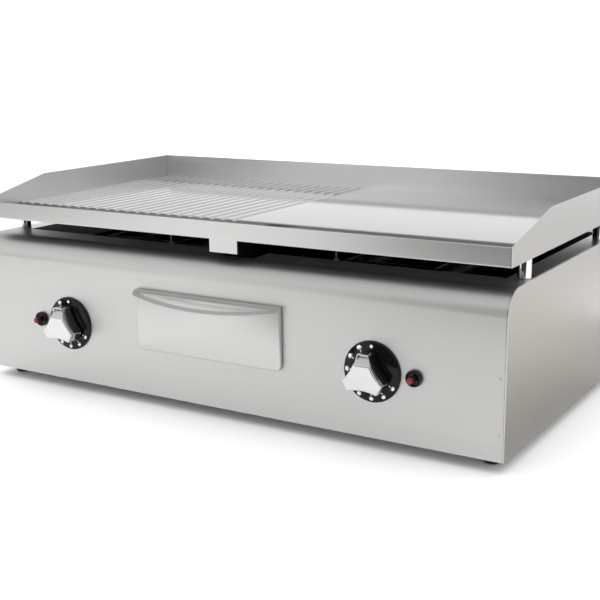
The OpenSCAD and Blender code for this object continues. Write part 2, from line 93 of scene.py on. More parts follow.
# ---------------------------------------------------------------- mesh building
def piece(
    name, points, faces, material, body, nodes, slot, chamfer=0.0, smooth=28, below=None
):
    """One finished mesh from points in millimetres and lists of corner numbers.

    Doubles are merged, faces turned outwards, edges sharper than 30 degrees cut back by
    the chamfer, and only edges flatter than the smooth angle are shaded round. Faces that
    look straight down take the material called below, where there is one."""
    mesh = bpy.data.meshes.new(name)
    mesh.from_pydata((np.asarray(points, float) * MM).tolist(), [], faces)
    bm = bmesh.new()
    bm.from_mesh(mesh)
    bmesh.ops.remove_doubles(bm, verts=bm.verts, dist=2e-6)
    bmesh.ops.delete(bm, geom=[v for v in bm.verts if not v.link_faces], context="VERTS")
    bmesh.ops.recalc_face_normals(bm, faces=bm.faces)
    if chamfer:
        sharp = [
            e
            for e in bm.edges
            if len(e.link_faces) == 2 and e.calc_face_angle(0) > math.radians(30)
        ]
        bmesh.ops.bevel(
            bm,
            geom=sharp,
            offset=chamfer * MM,
            offset_type="OFFSET",
            segments=1,
            profile=0.5,
            affect="EDGES",
            clamp_overlap=True,
        )
    limit = math.radians(smooth)
    bm.normal_update()
    for f in bm.faces:
        f.smooth = True
        f.material_index = int(below is not None and f.normal.z < -0.9)
    for e in bm.edges:
        e.smooth = len(e.link_faces) == 2 and e.calc_face_angle(0) < limit
    bm.to_mesh(mesh)
    bm.free()
    obj = bpy.data.objects.new(name, mesh)
    bpy.context.scene.collection.objects.link(obj)
    obj.data.materials.append(material)
    if below is not None:
        obj.data.materials.append(below)
    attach(obj, body)
    if nodes:
        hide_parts(*nodes)
    return obj


def joined(parts):
    """Several (points, faces) pairs as one pair: each part's numbers go on from the last."""
    points, faces, shift = [], [], 0
    for p, f in parts:
        points.append(np.asarray(p, float))
        faces += [[i + shift for i in face] for face in f]
        shift += len(p)
    return np.vstack(points), faces


def loft(rings, caps=True):
    """Closed loops of equal length joined one after the other, the end loops filled.

    Point j of loop i is number i * m + j, and each cell joins points j and j + 1 of loops
    i and i + 1, where j + 1 starts again from zero after the last point."""
    rings = np.asarray(rings, float)
    n, m = rings.shape[:2]
    i, j = np.meshgrid(np.arange(n - 1), np.arange(m), indexing="ij")
    k = (j + 1) % m
    quads = np.stack([i * m + j, i * m + k, (i + 1) * m + k, (i + 1) * m + j], -1)
    faces = quads.reshape(-1, 4).tolist()
    if caps:
        faces += [list(range(m))[::-1], list(range((n - 1) * m, n * m))]
    return rings.reshape(-1, 3), faces


def turned(profile, centre, axis, around=96):
    """A profile of (radius r, distance h along the axis) turned once round the axis.

    At the angle a a point lies at r cos a, r sin a across the axis and h along it. A radius
    of zero closes the end in a point."""
    profile = np.asarray(profile, float)
    a = np.linspace(0, 2 * np.pi, around, endpoint=False)
    r, h = profile[:, :1], profile[:, 1:]
    u, v = r * np.cos(a), r * np.sin(a)
    h = np.broadcast_to(h, u.shape)
    order = {"z": (u, v, h), "-y": (u, -h, v), "y": (u, h, v)}[axis]
    rings = np.stack(order, -1) + np.asarray(centre, float)
    return loft(rings, caps=False)


def walled(keep, solid):
    """Faces of a sheet given as two equal grids of points, the outer side first.

    The cells in keep are filled on both sides, and a wall joins the sides wherever a cell
    in solid has none next to it."""
    n, m = keep.shape[0] + 1, keep.shape[1] + 1
    number = np.arange(n * m).reshape(n, m)
    a, b = number[:-1, :-1], number[:-1, 1:]
    c, d = number[1:, 1:], number[1:, :-1]
    quads = np.stack([a, b, c, d], -1)[keep]
    faces = [quads, quads[:, ::-1] + n * m]
    padded = np.pad(solid, 1)
    for beside, p, q in (
        (padded[:-2, 1:-1], a, b),
        (padded[2:, 1:-1], d, c),
        (padded[1:-1, :-2], a, d),
        (padded[1:-1, 2:], b, c),
    ):
        edge = solid & ~beside
        faces.append(np.stack([p[edge], q[edge], q[edge] + n * m, p[edge] + n * m], -1))
    return np.vstack(faces).tolist()


def folded(path, xs, keep, thickness):
    """A sheet folded along a (y, z) path and cut in cells between the given x values.

    The path is the sheet's outer side and the metal lies to the left of its direction. The
    inner point is the outer one plus the thickness along the mean of the two sides' left
    normals, made so long that both sides are the full thickness thick. Cells where keep is
    false are left out and get walls."""
    path, xs = np.asarray(path, float), np.asarray(xs, float)
    step = np.diff(path, axis=0)
    step /= np.linalg.norm(step, axis=1, keepdims=True)
    left = np.stack([-step[:, 1], step[:, 0]], -1)
    before, after = np.vstack([left[:1], left]), np.vstack([left, left[-1:]])
    mean = before + after
    mean /= np.linalg.norm(mean, axis=1, keepdims=True)
    mean /= np.sum(mean * before, axis=1, keepdims=True)
    n, m = len(path), len(xs)

    def side(p):
        y = np.repeat(p[:, :1], m, 1)
        z = np.repeat(p[:, 1:], m, 1)
        return np.stack([np.broadcast_to(xs, (n, m)), y, z], -1).reshape(-1, 3)

    points = np.vstack([side(path), side(path + thickness * mean)])
    return points, walled(keep, keep)


def slab(outline, plane, low, high):
    """A flat outline given in two axes, carried from low to high along the third."""
    outline = np.asarray(outline, float)
    rings = []
    for v in (low, high):
        w = np.full(len(outline), v)
        a, b = outline[:, 0], outline[:, 1]
        rings.append(np.stack({"yz": (w, a, b), "xz": (a, w, b), "xy": (a, b, w)}[plane], -1))
    return loft(rings)


def arc(centre, radius, start, end, count):
    """Points at the centre plus radius times (cos a, sin a), a going from start to end
    degrees in equal steps."""
    a = np.radians(np.linspace(start, end, count))
    return np.stack([centre[0] + radius * np.cos(a), centre[1] + radius * np.sin(a)], -1)


def lengths(path):
    """How far along the path each of its points lies."""
    return np.r_[0, np.cumsum(np.linalg.norm(np.diff(path, axis=0), axis=1))]


def grid_keep(us, vs, holes):
    """Cells between the lines us and vs, false where their middle lies in a hole."""
    u = (np.asarray(us[:-1]) + np.asarray(us[1:])) / 2
    v = (np.asarray(vs[:-1]) + np.asarray(vs[1:])) / 2
    uu, vv = np.meshgrid(u, v, indexing="ij")
    keep = np.ones(uu.shape, bool)
    for u0, u1, v0, v1 in holes:
        keep &= ~((uu > u0) & (uu < u1) & (vv > v0) & (vv < v1))
    return keep


# ---------------------------------------------------------------- materials
def linear(colour):
    """An sRGB hex colour as linear red, green, blue and a full alpha."""
    c = np.array([int(colour[i : i + 2], 16) for i in (0, 2, 4)]) / 255
    c = np.where(c <= 0.04045, c / 12.92, ((c + 0.055) / 1.055) ** 2.4)
    return (*c.tolist(), 1.0)


def add(tree, kind, settings=None, links=None):
    """A node with its settings and its incoming links."""
    node = tree.nodes.new(kind)
    for key, value in (settings or {}).items():
        if key in node.inputs:
            node.inputs[key].default_value = value
        else:
            setattr(node, key, value)
    for key, source in (links or {}).items():
        tree.links.new(source, node.inputs[key])
    return node


def start(name, colour, metallic, roughness, **sockets):
    """A material, its tree, its shader and the object's own coordinates in metres."""
    material = bpy.data.materials.new(name)
    material.use_nodes = True
    tree = material.node_tree
    shader = tree.nodes["Principled BSDF"]
    shader.inputs["Base Color"].default_value = linear(colour)
    shader.inputs["Metallic"].default_value = metallic
    shader.inputs["Roughness"].default_value = roughness
    for key, value in sockets.items():
        shader.inputs[key.replace("_", " ")].default_value = value
    material.diffuse_color = linear(colour)
    place = add(tree, "ShaderNodeTexCoord")
    return material, tree, shader, place.outputs["Object"]


def brushed_stainless(
    name, along, light="C4C4C3", dark="C0C0BE", smooth=0.28, rough=0.36, depth=0.04
):
    """Sheet steel brushed in one direction: fine streaks that spread its gloss."""
    material, tree, shader, place = start(name, light, 1.0, (smooth + rough) / 2)
    # streaks 250 mm long and 1.2 mm wide, coarser than the real 0.1 mm so that they show
    scale = [1 / 0.0012] * 3
    scale["xyz".index(along)] = 1 / 0.25
    stretch = add(tree, "ShaderNodeMapping", {"Scale": scale}, {"Vector": place})
    streak = add(
        tree,
        "ShaderNodeTexNoise",
        {"Scale": 1.0, "Detail": 3.0, "Roughness": 0.6},
        {"Vector": stretch.outputs["Vector"]},
    )
    # handling leaves soft clouds about 90 mm across
    cloud = add(
        tree, "ShaderNodeTexNoise", {"Scale": 1 / 0.09, "Detail": 2.0}, {"Vector": place}
    )
    gloss = add(
        tree,
        "ShaderNodeMapRange",
        {"From Min": 0.3, "From Max": 0.7, "To Min": smooth, "To Max": rough},
        {"Value": streak.outputs["Fac"]},
    )
    tree.links.new(gloss.outputs["Result"], shader.inputs["Roughness"])
    tint = add(
        tree,
        "ShaderNodeMix",
        {"data_type": "RGBA"},
        {"Factor": cloud.outputs["Fac"]},
    )
    tint.inputs[6].default_value = linear(light)
    tint.inputs[7].default_value = linear(dark)
    tree.links.new(tint.outputs[2], shader.inputs["Base Color"])
    bump = add(
        tree,
        "ShaderNodeBump",
        {"Strength": depth, "Distance": 0.00003},
        {"Height": streak.outputs["Fac"]},
    )
    tree.links.new(bump.outputs["Normal"], shader.inputs["Normal"])
    return material


def speckled(
    name, colour, other, metallic, roughness, grain_mm, spread=0.06, depth=0.2, **sockets
):
    """Paint, plastic, rubber or plain metal: a fine grain in colour, gloss and relief.

    Grains of 0.4 to 3 mm stand for real ones under 0.2 mm and are drawn coarser so that
    they show. From 6 mm up they are not a grain but soft patches in the finish."""
    material, tree, shader, place = start(name, colour, metallic, roughness, **sockets)
    grain = add(
        tree,
        "ShaderNodeTexNoise",
        {"Scale": 1 / (grain_mm * MM), "Detail": 4.0},
        {"Vector": place},
    )
    tint = add(tree, "ShaderNodeMix", {"data_type": "RGBA"}, {"Factor": grain.outputs["Fac"]})
    tint.inputs[6].default_value = linear(colour)
    tint.inputs[7].default_value = linear(other)
    tree.links.new(tint.outputs[2], shader.inputs["Base Color"])
    gloss = add(
        tree,
        "ShaderNodeMapRange",
        {
            "From Min": 0.3,
            "From Max": 0.7,
            "To Min": max(roughness - spread, 0.02),
            "To Max": roughness + spread,
        },
        {"Value": grain.outputs["Fac"]},
    )
    tree.links.new(gloss.outputs["Result"], shader.inputs["Roughness"])
    bump = add(
        tree,
        "ShaderNodeBump",
        {"Strength": depth, "Distance": grain_mm * MM * 0.1},
        {"Height": grain.outputs["Fac"]},
    )
    tree.links.new(bump.outputs["Normal"], shader.inputs["Normal"])
    return material


# AISI 304 sheet, brushed across: mid grey, its highlights drawn out into soft bands
STEEL_X = brushed_stainless("stainless_brushed_across", "x")
# the same sheet brushed front to back: the bands run away from the eye
STEEL_Y = brushed_stainless("stainless_brushed_front_to_back", "y")
# AISI 304, brushed more coarsely: an even satin grey without sharp reflections
STEEL_FRONT = brushed_stainless(
    "stainless_front_panel", "x", smooth=0.37, rough=0.50, depth=0.06
)
# AISI 304, brushed, with a painted lighter tone: the guard stays light though it faces the
# darker side
STEEL_BACK_PAINTED_LIGHT = brushed_stainless("stainless_back_guard_painted_light", "x", "DFDFDE", "D9D9D8")
# the same painted lighter tone brushed front to back, for the guard that is seen on its inner
# side
STEEL_LEFT_PAINTED_LIGHT = brushed_stainless("stainless_left_guard_painted_light", "y", "DFDFDE", "D9D9D8")
# AISI 304, brushed across: a little glossier than the panel round it
STEEL_DRAWER = brushed_stainless("stainless_drawer_front", "x")
# thick steel, ground and polished: a blurred mirror of the guards and the sky
PLATE = brushed_stainless(
    "steel_plate_ground_and_polished", "y", "C4C4C5", "BEBEBF", 0.10, 0.14, 0.10
)
# hot-dip galvanised sheet: dull blue-grey in 12 mm patches
ZINC = speckled("galvanised_sheet", "B4B7B9", "A6AAAD", 1.0, 0.42, 12.0, 0.08, 0.1)
# zinc-plated steel: a clean light grey that glints at its edges
FASTENER = speckled("zinc_plated_fastener", "C2C4C6", "B2B4B6", 1.0, 0.3, 1.0)
# baked stove enamel, matt: deep black without a highlight
ENAMEL = speckled(
    "matt_black_stove_enamel", "0A0A0B", "111112", 0.0, 0.7, 1.5, Specular_IOR_Level=0.0
)
# bright chrome plating: thin, hard black and white reflections
CHROME = speckled("chrome_plated_post", "DEDEDF", "D6D6D8", 1.0, 0.06, 20.0, 0.02, 0.0)
# satin chrome plating on a moulded grip: bright, with soft-edged reflections
KNOB = speckled("satin_chromed_knob", "CFCFD1", "C6C6C8", 1.0, 0.16, 6.0, 0.04, 0.05)
# glossy black moulding: deep black with a clear but faint sheen
DIAL = speckled(
    "gloss_black_dial", "08080A", "0E0E11", 0.0, 0.12, 3.0, 0.03, 0.05, Specular_IOR_Level=0.2
)
# white printing ink: flat white marks without gloss
MARKS = speckled("white_dial_print", "F2F2F2", "E6E6E6", 0.0, 0.5, 0.4)
# moulded black nylon: black with a soft, dull highlight
IGNITER = speckled(
    "moulded_black_nylon", "09090B", "101013", 0.0, 0.32, 0.8, Specular_IOR_Level=0.3
)
# moulded red plastic: dark red with a small bright highlight
RED = speckled("red_moulded_button", "7A1A20", "66141A", 0.0, 0.22, 1.0, 0.04, 0.05)
# machined brass: warm yellow metal with a soft shine
BRASS = speckled("machined_brass", "B99A52", "A98B46", 1.0, 0.3, 1.5)
# steel pipe in black paint: dark grey, half gloss
PIPE = speckled("black_painted_pipe", "232426", "2C2D30", 0.0, 0.45, 1.0)
# drawn aluminium: pale silver with a soft shine
ALUMINIUM = speckled("drawn_aluminium_tube", "C9CBCD", "BEC0C2", 1.0, 0.28, 2.0)
# steel darkened by heat: nearly black and dull, in patches
BURNER = speckled("heat_darkened_burner_steel", "1C1B1A", "121110", 0.8, 0.5, 8.0, 0.1, 0.2)
# tarnished copper: brown metal with little shine
COPPER = speckled("tarnished_copper_capillary", "6B4633", "4E3427", 1.0, 0.35, 1.5)
# glazed ceramic: off-white with a clear highlight
CERAMIC = speckled("glazed_electrode_ceramic", "B9B5AC", "A8A49B", 0.0, 0.25, 1.5)
# painted shade: flat black that gives back no light, for the undersides and the grease spout in
# the dark of the casing
UNDERSIDE_PAINTED_SHADE = speckled(
    "painted_shade_underside", "0B0B0B", "121110", 0.0, 0.8, 15.0, 0.08, 0.1,
    Specular_IOR_Level=0.0,
)
# moulded rubber: soft, matt black
RUBBER = speckled("black_rubber_foot", "131313", "1B1B1B", 0.0, 0.7, 0.6)

# ---------------------------------------------------------------- casing
bend = arc((FRONT + BEND_R, TOP_Z - BEND_R), BEND_R, 180, 90, 25)
front_path = np.vstack(
    [
        [(FRONT, FLOOR_Z), (FRONT, OPENING_Z0), (FRONT, OPENING_Z1)],
        bend,
        [(NOTCH_Y, TOP_Z), (FLANGE_REAR, TOP_Z)],
    ]
)
front_x = [-INNER_W, -OPENING_W, NOTCH_X0, NOTCH_X1, OPENING_W, INNER_W]
along = lengths(front_path)
opening = (along[1], along[2], -OPENING_W, OPENING_W)
notch = (along[-2], along[-1], NOTCH_X0, NOTCH_X1)
keep = grid_keep(along, front_x, [opening, notch])
piece(
    "front_panel_skin", *folded(front_path, front_x, keep, -SHEET), STEEL_FRONT, "casing",
    ["front_panel"], "brushed_stainless",
)

side_outline = np.vstack([bend, [(REAR, TOP_Z), (REAR, FLOOR_Z), (FRONT, FLOOR_Z)]])
for side, sx in (("left", -1), ("right", 1)):
    x = sorted((sx * HALF_W, sx * INNER_W))
    f = sorted((sx * INNER_W, sx * (INNER_W - SIDE_FLANGE)))
    y0, y1 = FLANGE_REAR, REAR - SHEET
    flange = [(f[0], y0), (f[1], y0), (f[1], y1), (f[0], y1)]
    panel = [slab(side_outline, "yz", *x), slab(flange, "xy", TOP_Z - SHEET, TOP_Z)]
    piece(
        f"side_panel_skin_{side}", *joined(panel), STEEL_Y, "casing",
        [f"side_panel_{side}"], "brushed_stainless", chamfer=0.4,
    )

# rear panel with two rows of vent slots, its top flange cut back at the side flanges
vents = (np.arange(VENTS) - (VENTS - 1) / 2) * VENT_PITCH
flange_x = INNER_W - SIDE_FLANGE
rear_x = np.unique(
    np.r_[-INNER_W, -flange_x, vents - VENT_W, vents + VENT_W, flange_x, INNER_W]
)
rear_z = [FLOOR_Z, *VENT_ROW_1, *VENT_ROW_2, TOP_Z]
rear_path = [(REAR, z) for z in rear_z] + [(REAR_FLANGE_Y, TOP_Z)]
along = lengths(rear_path)
holes = [(along[a], along[a + 1], v - VENT_W, v + VENT_W) for a in (1, 3) for v in vents]
holes += [(along[5], along[6], -INNER_W, -flange_x), (along[5], along[6], flange_x, INNER_W)]
keep = grid_keep(along, rear_x, holes)
piece(
    "rear_panel_skin", *folded(rear_path, rear_x, keep, SHEET), ZINC, "casing",
    ["rear_panel"], "galvanised_sheet",
)

# ---------------------------------------------------------------- plate, trough and guards
# the ribbed half: lines 0.7 mm apart, and each flank falls as 3 t^2 - 2 t^3
across = np.arange(-PLATE_W, 0.01, 0.7)
groove = -(np.arange(GROOVES) + 0.5) * GROOVE_PITCH
off = np.abs(across[:, None] - groove).min(1)
fall = np.clip((GROOVE_W - off) / GROOVE_FLANK, 0, 1)
height = PLATE_Z1 - GROOVE_DEPTH * fall * fall * (3 - 2 * fall)
outline = np.vstack(
    [
        np.stack([across, height], -1),
        [(PLATE_W, PLATE_Z1), (PLATE_W, PLATE_Z0), (-PLATE_W, PLATE_Z0)],
    ]
)
# its front edges are rounded by a quarter circle
rings = []
for turn in (0, 30, 60, 90):
    inset = PLATE_EDGE_R * (1 - math.sin(math.radians(turn)))
    y = PLATE_Y0 + PLATE_EDGE_R * (1 - math.cos(math.radians(turn)))
    z = np.clip(outline[:, 1], PLATE_Z0 + inset, PLATE_Z1 - inset)
    rings.append(np.stack([outline[:, 0], np.full(len(outline), y), z], -1))
rear = np.full(len(outline), REAR - GUARD)
rings.append(np.stack([outline[:, 0], rear, outline[:, 1]], -1))
# the plate's underside takes the flat black of painted shade
piece(
    "ribbed_and_smooth_plate", *loft(rings), PLATE, "casing", ["griddle_plate"],
    "polished_steel_plate", smooth=40, below=UNDERSIDE_PAINTED_SHADE,
)

trough_x = [-PLATE_W, SPOUT_X0, DRAIN_X0, DRAIN_X1, SPOUT_X1, PLATE_W]
low_z = APRON_Z0 + APRON_BEND_R
low_bend = arc((APRON_Y + APRON_BEND_R, low_z), APRON_BEND_R, 180, 270, 5)
trough_path = np.vstack(
    [
        [(APRON_Y, APRON_Z1), (APRON_Y, APRON_Z0 + GUARD)],
        low_bend,
        [(DRAIN_Y0, APRON_Z0), (DRAIN_Y1, APRON_Z0), (TROUGH_REAR, APRON_Z0)],
    ]
)
along = lengths(trough_path)
keep = grid_keep(along, trough_x, [(along[-3], along[-2], DRAIN_X0, DRAIN_X1)])
tab = [(SPOUT_X0, SPOUT_Z0), (SPOUT_X1, SPOUT_Z0), (SPOUT_X1, low_z), (SPOUT_X0, low_z)]
trough = [folded(trough_path, trough_x, keep, GUARD), slab(tab, "xz", APRON_Y, APRON_Y + GUARD)]
# the trough's underside takes the flat black of painted shade
piece(
    "apron_and_trough", *joined(trough), STEEL_X, "casing", ["front_trough"],
    "brushed_stainless", chamfer=0.35, below=UNDERSIDE_PAINTED_SHADE,
)

guard_outline = [
    (APRON_Y, APRON_Z0), (REAR, APRON_Z0), (REAR, GUARD_Z), (SLOPE_Y, GUARD_Z),
    (APRON_Y, APRON_Z1),
]
# the left guard takes the painted lighter tone of its steel
for side, sx, steel in (("left", -1, STEEL_LEFT_PAINTED_LIGHT), ("right", 1, STEEL_Y)):
    x = sorted((sx * HALF_W, sx * (HALF_W - GUARD)))
    piece(
        f"side_guard_{side}", *slab(guard_outline, "yz", *x), steel, "casing",
        [f"splash_guard_{side}"], "brushed_stainless", chamfer=0.4,
    )
# the back guard takes the painted lighter tone of its steel
back = [(-PLATE_W, APRON_Z0), (PLATE_W, APRON_Z0), (PLATE_W, GUARD_Z), (-PLATE_W, GUARD_Z)]
piece(
    "back_guard", *slab(back, "xz", REAR - GUARD, REAR), STEEL_BACK_PAINTED_LIGHT, "casing",
    ["splash_guard_back"], "brushed_stainless", chamfer=0.4,
)

for fb, y, top in (("front", -POST_Y, APRON_Z0), ("rear", POST_Y, PLATE_Z0)):
    for side, sx in (("left", -1), ("right", 1)):
        h = top - TOP_Z
        rim = POST_R - 0.5
        profile = [(0, 0), (rim, 0), (POST_R, 0.5), (POST_R, h - 0.5), (rim, h), (0, h)]
        piece(
            f"plate_post_{fb}_{side}", *turned(profile, (sx * POST_X, y, TOP_Z), "z"), CHROME,
            "casing", [f"post_{fb}_{side}"], "chrome_post",
        )


# ---------------------------------------------------------------- drawer
def drawer_loop(inset, y):
    """The drawer front's outline, drawn in by inset: two upper corners, and quarter circles
    for the lower ones."""
    w, low, high = DRAWER_W - inset, DRAWER_Z0 + inset, DRAWER_Z1 - inset
    r = DRAWER_CORNER - inset
    loop = np.vstack(
        [
            [(-w, high)],
            arc((-w + r, low + r), r, 180, 270, 9),
            arc((w - r, low + r), r, 270, 360, 9),
            [(w, high)],
        ]
    )
    return np.stack([loop[:, 0], np.full(len(loop), y), loop[:, 1]], -1)


rings = [drawer_loop(PAN_ROLL, PAN_RIM), drawer_loop(PAN_ROLL, PAN_BACK)]
rings += [drawer_loop(0, PAN_BACK), drawer_loop(0, PAN_RIM)]
for a in np.radians([30, 60, 90]):
    rings.append(drawer_loop(PAN_ROLL * (1 - math.cos(a)), PAN_RIM - PAN_ROLL * math.sin(a)))
piece(
    "drawer_front_pan", *loft(rings), STEEL_DRAWER, "drawer", ["drawer_front"],
    "brushed_stainless", smooth=40,
)

# the grip slopes down from the pan's top: its edge and its slot are arcs, r^2 - x^2 under
# the root, and its end corners are quarter circles
straight = DRAWER_W - GRIP_CORNER
corner = np.array([109.5, 110.5, 111.3, 111.8, 112])
xs = np.r_[-corner[::-1], np.linspace(-straight, straight, 109), corner]
reach = np.sqrt(GRIP_OUTER_R**2 - xs**2) - GRIP_BEHIND
past = np.clip(np.abs(xs) - straight, 0, GRIP_CORNER)
reach -= GRIP_CORNER - np.sqrt(GRIP_CORNER**2 - past**2)
slot = np.sqrt(GRIP_SLOT_R**2 - xs**2) - GRIP_BEHIND
inner = np.minimum(GRIP_STRIP, reach * 0.8)
levels = np.stack([np.zeros_like(xs), inner, np.maximum(slot, inner), reach])
open_slot = (slot > GRIP_STRIP)[:-1] & (slot > GRIP_STRIP)[1:]
slope = math.radians(GRIP_SLOPE)
points = []
for lift in (0.0, SHEET):
    y = GRIP_Y - levels * math.cos(slope) - lift * math.sin(slope)
    z = GRIP_Z - levels * math.sin(slope) + lift * math.cos(slope)
    points.append(np.stack([np.broadcast_to(xs, y.shape), np.minimum(y, GRIP_Y), z], -1))
solid = np.ones((levels.shape[0] - 1, levels.shape[1] - 1), bool)
solid[1] = ~open_slot
keep = solid.copy()
keep[1] &= (levels[2] - levels[1])[:-1] > 1e-6
piece(
    "drawer_grip", np.vstack([p.reshape(-1, 3) for p in points]), walled(keep, solid), STEEL_X,
    "drawer", ["drawer_handle"], "brushed_stainless",
)


# ---------------------------------------------------------------- controls
def flame(size):
    """A small flame whose tongues point to the dial's middle, as a closed outline of eleven
    corners times the size."""
    t = np.array(
        [
            (-0.8, 0.9), (-1.25, -0.4), (-0.65, 0.3), (-0.4, -0.9), (0, 0.1), (0.4, -0.9),
            (0.65, 0.3), (1.25, -0.4), (0.8, 0.9), (0.4, 1.1), (-0.4, 1.1),
        ]
    )
    return t * size


def mark(outline, x, z, angle, distance, lift):
    """A printed mark on the dial: its outline is turned to stand on the circle, the first
    axis along the circle and the second away from the dial's middle."""
    a = math.radians(angle)
    out = np.array([math.cos(a), math.sin(a)])
    across = np.array([out[1], -out[0]])
    flat = out * distance + outline[:, :1] * across + outline[:, 1:] * out
    flat = flat + (x, z)
    return slab(flat, "xz", FRONT - lift - 0.08, FRONT - lift + 0.25)


ring = np.linspace(0, 2 * np.pi, 20, endpoint=False)
round_dot = np.stack([np.cos(ring), np.sin(ring)], -1)
lobes = np.radians([90, 210, 330])


def knob_edge(count=288):
    """The directions t, and the distance from the knob's middle to its edge in each.

    It is the lesser of the blunt lobe end, LOBE_END / cos(away), and the hollow flank, an
    arc of radius FLANK_R about a point FLANK_OUT from the middle. The two are blended by
    -s log(exp(-a / s) + exp(-b / s)) with s = 0.35 mm."""
    t = np.linspace(0, 2 * np.pi, count, endpoint=False)
    away = np.abs((t[:, None] - lobes + np.pi) % (2 * np.pi) - np.pi).min(1)
    end = LOBE_END / np.maximum(np.cos(away), 0.2)
    hollow = np.pi / 3 - away
    inside = FLANK_R**2 - (FLANK_OUT * np.sin(hollow)) ** 2
    flank = FLANK_OUT * np.cos(hollow) - np.sqrt(np.maximum(inside, 0))
    flank = np.where(inside > 0, flank, 99)
    soft = -np.logaddexp(-end / 0.35, -flank / 0.35) * 0.35
    return t, soft


def knob_front(z, depth):
    """The knob's face at the height z above its middle: level, then sloping back from
    SLOPE_FROM_Z upwards, the two blended by s log(1 + exp((z - from) / s)), s = 0.5 mm."""
    rise = np.logaddexp(0, (z - SLOPE_FROM_Z) / 0.5) * 0.5
    return KNOB_FACE + depth + rise * math.tan(math.radians(SLOPE_DEG))


# (radius, distance from the panel) round each part's own axis
DIAL_PROFILE = [
    (10, 0), (36.6, 0), (37, 0.4), (37, 1.6), (36.6, 2.4), (35.6, 3.0), (26, 3.35), (25.2, 3.6),
    (10, 4), (10, 0),
]
BEZEL_PROFILE = [
    (4.8, 0), (8.4, 0), (8.4, 0.2), (9.6, 0.2), (10, 0.7), (10, 3.6), (9.7, 4.5), (9.0, 5.0),
    (8.2, 5.0), (7.5, 4.4), (7.2, 3.0), (5.6, 2.8), (5.0, 2.4), (4.8, 0),
]
BARREL_PROFILE = [
    (4.8, 0), (8.5, 0), (8.5, -41), (8, -42), (0, -42), (0, -38), (6.3, -38), (6.3, -7),
    (4.8, -7), (4.8, 0),
]
SHAFT_PROFILE = [
    (0, -24), (2, -24), (2, -10), (5.7, -10), (5.7, -8), (4.3, -8), (4.3, 9.0), (3.9, 9.6),
    (0, 9.6),
]
TIP_PROFILE = [
    (0, 9.7), (3.6, 9.7), (3.8, 10.0), (3.8, 13.0), (3.6, 13.9), (2.9, 14.6), (1.8, 14.9),
    (0, 15.0),
]
HUB_PROFILE = [(0, -222), (9, -222), (9, -218.4), (0, -218.4)]
# (share of the edge's distance, y) from the knob's back to the groove behind its rim
KNOB_FLANK = [
    (0.0, -222.4), (0.93, -222.4), (0.975, -222.6), (0.985, -223.4), (0.985, -238.0),
    (0.955, -238.3), (0.955, -239.4), (1.0, -239.7),
]

for side, sx in (("left", -1), ("right", 1)):
    x = sx * KNOB_X
    piece(
        f"dial_disc_{side}", *turned(DIAL_PROFILE, (x, FRONT, CONTROL_Z), "-y", 128), DIAL,
        "casing", [f"dial_{side}"], "black_dial", smooth=50,
    )
    prints = [mark(round_dot * 2.0, x, CONTROL_Z, 90, 31, MARK_LIFT)]
    for k, angle in enumerate((120, 150, 180, 210, 240, 270, 300, 330)):
        # the flames grow smaller from the first to the last
        size = 2.9 - 0.06 * k
        prints.append(mark(flame(size), x, CONTROL_Z, angle, MARK_OUT, MARK_LIFT))
        prints.append(mark(round_dot * 0.8, x, CONTROL_Z, angle, DOT_OUT, DOT_LIFT))
    piece(f"dial_marks_{side}", *joined(prints), MARKS, "casing", [], "black_dial")

    t, edge = knob_edge()
    rings = []
    for share, y in KNOB_FLANK:
        r = edge * share
        rings.append(
            np.stack([x + r * np.cos(t), np.full(len(t), y), CONTROL_Z + r * np.sin(t)], -1)
        )
    # a quarter circle rounds the rim, and shrinking loops close the face
    for turn in np.radians([0, 15, 30, 45, 60, 75, 90]):
        inset, depth = KNOB_ROUND * (1 - math.cos(turn)), KNOB_ROUND * (1 - math.sin(turn))
        r = edge - inset
        u, v = r * np.cos(t), r * np.sin(t)
        rings.append(np.stack([x + u, knob_front(v, depth), CONTROL_Z + v], -1))
    for share in np.linspace(1, 0, 30)[1:]:
        r = (edge - KNOB_ROUND) * share
        u, v = r * np.cos(t), r * np.sin(t)
        rings.append(np.stack([x + u, knob_front(v, 0), CONTROL_Z + v], -1))
    rings = np.array(rings)
    rings[:, :, 1] = np.minimum(rings[:, :, 1], KNOB_BACK)
    hub = turned(HUB_PROFILE, (x, 0, CONTROL_Z), "y", 64)
    piece(
        f"knob_grip_{side}", *joined([loft(rings, caps=False), hub]), KNOB, f"knob_{side}",
        [f"knob_{side}"], "chrome_knob", smooth=40,
    )

    centre = (sx * IGNITER_X, FRONT, CONTROL_Z)
    case = [turned(BEZEL_PROFILE, centre, "-y"), turned(BARREL_PROFILE, centre, "-y")]
    piece(
        f"igniter_case_{side}", *joined(case), IGNITER, "casing", [f"igniter_body_{side}"],
        "black_dial", smooth=40,
    )
    piece(
        f"igniter_push_{side}", *turned(SHAFT_PROFILE, centre, "-y", 64), IGNITER,
        f"button_{side}", [f"igniter_button_{side}"], "red_button", smooth=40,
    )
    piece(
        f"igniter_tip_{side}", *turned(TIP_PROFILE, centre, "-y", 48), RED,
        f"button_{side}", [], "red_button", smooth=50,
    )

# ---------------------------------------------------------------- feet, inlet, screws
FOOT_PROFILE = [
    (0, 0), (7.5, 0), (9.5, 0.8), (10.6, 2.6), (11, 5), (11, 14.4), (10.5, 15), (0, 15),
]
for fb, y in (("front", -FOOT_Y), ("rear", FOOT_Y)):
    for side, sx in (("left", -1), ("right", 1)):
        piece(
            f"foot_pad_{fb}_{side}", *turned(FOOT_PROFILE, (sx * FOOT_X, y, 0), "z", 64), RUBBER,
            "casing", [f"foot_{fb}_{side}"], "black_rubber", smooth=40,
        )

